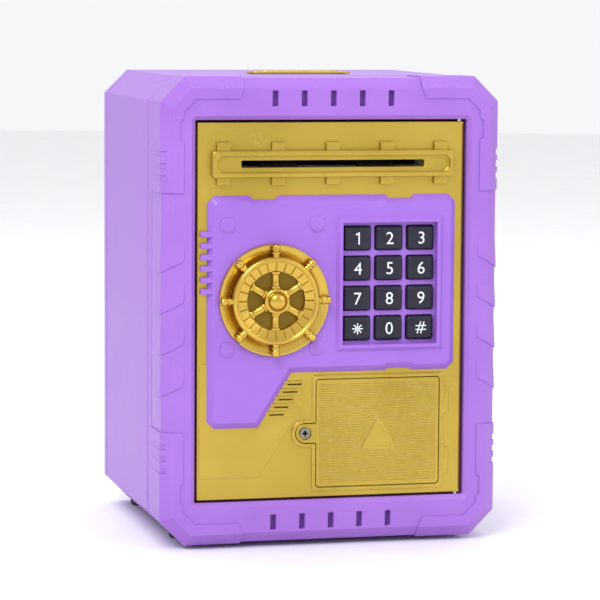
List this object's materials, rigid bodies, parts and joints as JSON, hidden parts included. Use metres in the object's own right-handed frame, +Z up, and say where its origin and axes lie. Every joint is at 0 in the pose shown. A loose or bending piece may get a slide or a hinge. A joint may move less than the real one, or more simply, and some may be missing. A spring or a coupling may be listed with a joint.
{
  "type": "toy safe coin bank",
  "caption": "Toy safe with a hinged keypad door, a wheel knob that throws a bolt, a powered banknote slot, a coin slot on top and a battery bay.",
  "frame": {"origin": "centre of the footprint's bounding box, on the surface that the feet stand on", "axes": "+Z up, -Y out of the door's front, +X to the viewer's right when facing the door"},
  "size_m": [0.152, 0.1486, 0.207],
  "materials": {
    "case_purple": "satin moulded plastic",
    "panel_purple": "satin moulded plastic",
    "door_gold": "satin gold paint on plastic",
    "knob_gold": "bright gold metallised plastic",
    "key_black": "satin, with printed white signs",
    "steel": "zinc-plated",
    "rubber_black": "matt",
    "silicone_grey": "matt silicone",
    "board_green": "solder mask",
    "cell_wrap": "shrink wrap",
    "coil_copper": "enamelled copper wire",
    "acetal_white": "natural acetal"
  },
  "bodies": {
    "case": {"front_frame": "case_purple", "door_stop": "case_purple", "rear_case": "case_purple", "coin_slot_bezel": "door_gold", "latch_keeper": "steel", "foot_front_left": "rubber_black", "foot_rear_left": "rubber_black", "foot_front_right": "rubber_black", "foot_rear_right": "rubber_black", "case_screw_lower_left": "steel", "case_screw_upper_left": "steel", "case_screw_lower_right": "steel", "case_screw_upper_right": "steel", "hinge_pin_upper": "steel", "hinge_pin_lower": "steel"},
    "door": {"door_shell": "door_gold", "door_panel": "panel_purple", "door_back_cover": "case_purple", "slot_cover": "door_gold", "keypad_mat": "silicone_grey", "circuit_board": "board_green", "note_guide": "acetal_white", "note_motor": "steel", "bolt_guide": "acetal_white", "solenoid_coil": "coil_copper", "speaker": "rubber_black", "battery_tray": "door_gold", "battery_1": "cell_wrap", "battery_2": "cell_wrap", "battery_3": "cell_wrap", "battery_contacts_left": "steel", "battery_contacts_right": "steel", "door_screw_lower_left": "steel", "door_screw_upper_left": "steel", "door_screw_lower_right": "steel", "door_screw_upper_right": "steel", "knob_flange": "knob_gold"},
    "knob": {"knob_wheel": "knob_gold", "knob_shaft": "steel", "latch_cam": "acetal_white"},
    "bolt": {"latch_bolt": "steel"},
    "plunger": {"solenoid_plunger": "steel"},
    "drive_roller": {"drive_roller": "rubber_black", "roller_gear": "acetal_white"},
    "idler_roller": {"idler_roller": "rubber_black"},
    "motor_pinion": {"motor_pinion": "acetal_white"},
    "battery_cover": {"battery_cover": "door_gold", "battery_cover_screw": "steel"},
    "key_1": {"key_1": "key_black"},
    "key_2": {"key_2": "key_black"},
    "key_3": {"key_3": "key_black"},
    "key_4": {"key_4": "key_black"},
    "key_5": {"key_5": "key_black"},
    "key_6": {"key_6": "key_black"},
    "key_7": {"key_7": "key_black"},
    "key_8": {"key_8": "key_black"},
    "key_9": {"key_9": "key_black"},
    "key_star": {"key_star": "key_black"},
    "key_0": {"key_0": "key_black"},
    "key_hash": {"key_hash": "key_black"}
  },
  "joints": [
    {"name": "door_hinge", "type": "hinge", "parent": "case", "child": "door", "pos_m": [0.058, -0.0597, 0.104], "axis": [0, 0, 1], "range_deg": [0, 84]},
    {"name": "knob_turn", "type": "hinge", "parent": "door", "child": "knob", "pos_m": [-0.0267, -0.0617, 0.10935], "axis": [0, -1, 0], "range_deg": [0, 90]},
    {"name": "bolt_slide", "type": "slide", "parent": "door", "child": "bolt", "axis": [-1, 0, 0], "range_m": [0, 0.006]},
    {"name": "plunger_slide", "type": "slide", "parent": "door", "child": "plunger", "axis": [0, 0, -1], "range_m": [0, 0.003], "stiffness_N_per_m": 150, "springref_m": -0.002},
    {"name": "drive_roller_spin", "type": "hinge", "parent": "door", "child": "drive_roller", "pos_m": [0, -0.0507, 0.16305], "axis": [1, 0, 0], "continuous": true},
    {"name": "idler_roller_spin", "type": "hinge", "parent": "door", "child": "idler_roller", "pos_m": [0, -0.0507, 0.17245], "axis": [1, 0, 0], "continuous": true},
    {"name": "motor_pinion_spin", "type": "hinge", "parent": "door", "child": "motor_pinion", "pos_m": [0.0477, -0.0507, 0.15335], "axis": [1, 0, 0], "continuous": true},
    {"name": "battery_cover_lift", "type": "slide", "parent": "door", "child": "battery_cover", "axis": [0, -1, 0], "range_m": [0, 0.02]},
    {"name": "key_1_press", "type": "slide", "parent": "door", "child": "key_1", "axis": [0, 1, 0], "range_m": [0, 0.0012], "stiffness_N_per_m": 400, "springref_m": -0.0005},
    {"name": "key_2_press", "type": "slide", "parent": "door", "child": "key_2", "axis": [0, 1, 0], "range_m": [0, 0.0012], "stiffness_N_per_m": 400, "springref_m": -0.0005},
    {"name": "key_3_press", "type": "slide", "parent": "door", "child": "key_3", "axis": [0, 1, 0], "range_m": [0, 0.0012], "stiffness_N_per_m": 400, "springref_m": -0.0005},
    {"name": "key_4_press", "type": "slide", "parent": "door", "child": "key_4", "axis": [0, 1, 0], "range_m": [0, 0.0012], "stiffness_N_per_m": 400, "springref_m": -0.0005},
    {"name": "key_5_press", "type": "slide", "parent": "door", "child": "key_5", "axis": [0, 1, 0], "range_m": [0, 0.0012], "stiffness_N_per_m": 400, "springref_m": -0.0005},
    {"name": "key_6_press", "type": "slide", "parent": "door", "child": "key_6", "axis": [0, 1, 0], "range_m": [0, 0.0012], "stiffness_N_per_m": 400, "springref_m": -0.0005},
    {"name": "key_7_press", "type": "slide", "parent": "door", "child": "key_7", "axis": [0, 1, 0], "range_m": [0, 0.0012], "stiffness_N_per_m": 400, "springref_m": -0.0005},
    {"name": "key_8_press", "type": "slide", "parent": "door", "child": "key_8", "axis": [0, 1, 0], "range_m": [0, 0.0012], "stiffness_N_per_m": 400, "springref_m": -0.0005},
    {"name": "key_9_press", "type": "slide", "parent": "door", "child": "key_9", "axis": [0, 1, 0], "range_m": [0, 0.0012], "stiffness_N_per_m": 400, "springref_m": -0.0005},
    {"name": "key_star_press", "type": "slide", "parent": "door", "child": "key_star", "axis": [0, 1, 0], "range_m": [0, 0.0012], "stiffness_N_per_m": 400, "springref_m": -0.0005},
    {"name": "key_0_press", "type": "slide", "parent": "door", "child": "key_0", "axis": [0, 1, 0], "range_m": [0, 0.0012], "stiffness_N_per_m": 400, "springref_m": -0.0005},
    {"name": "key_hash_press", "type": "slide", "parent": "door", "child": "key_hash", "axis": [0, 1, 0], "range_m": [0, 0.0012], "stiffness_N_per_m": 400, "springref_m": -0.0005}
  ],
  "couplings": [
    {"joint": "bolt_slide", "follows": "knob_turn", "m_per_rad": 0.0038197},
    {"joint": "idler_roller_spin", "follows": "drive_roller_spin", "ratio": -1.25},
    {"joint": "motor_pinion_spin", "follows": "drive_roller_spin", "ratio": -3}
  ]
}
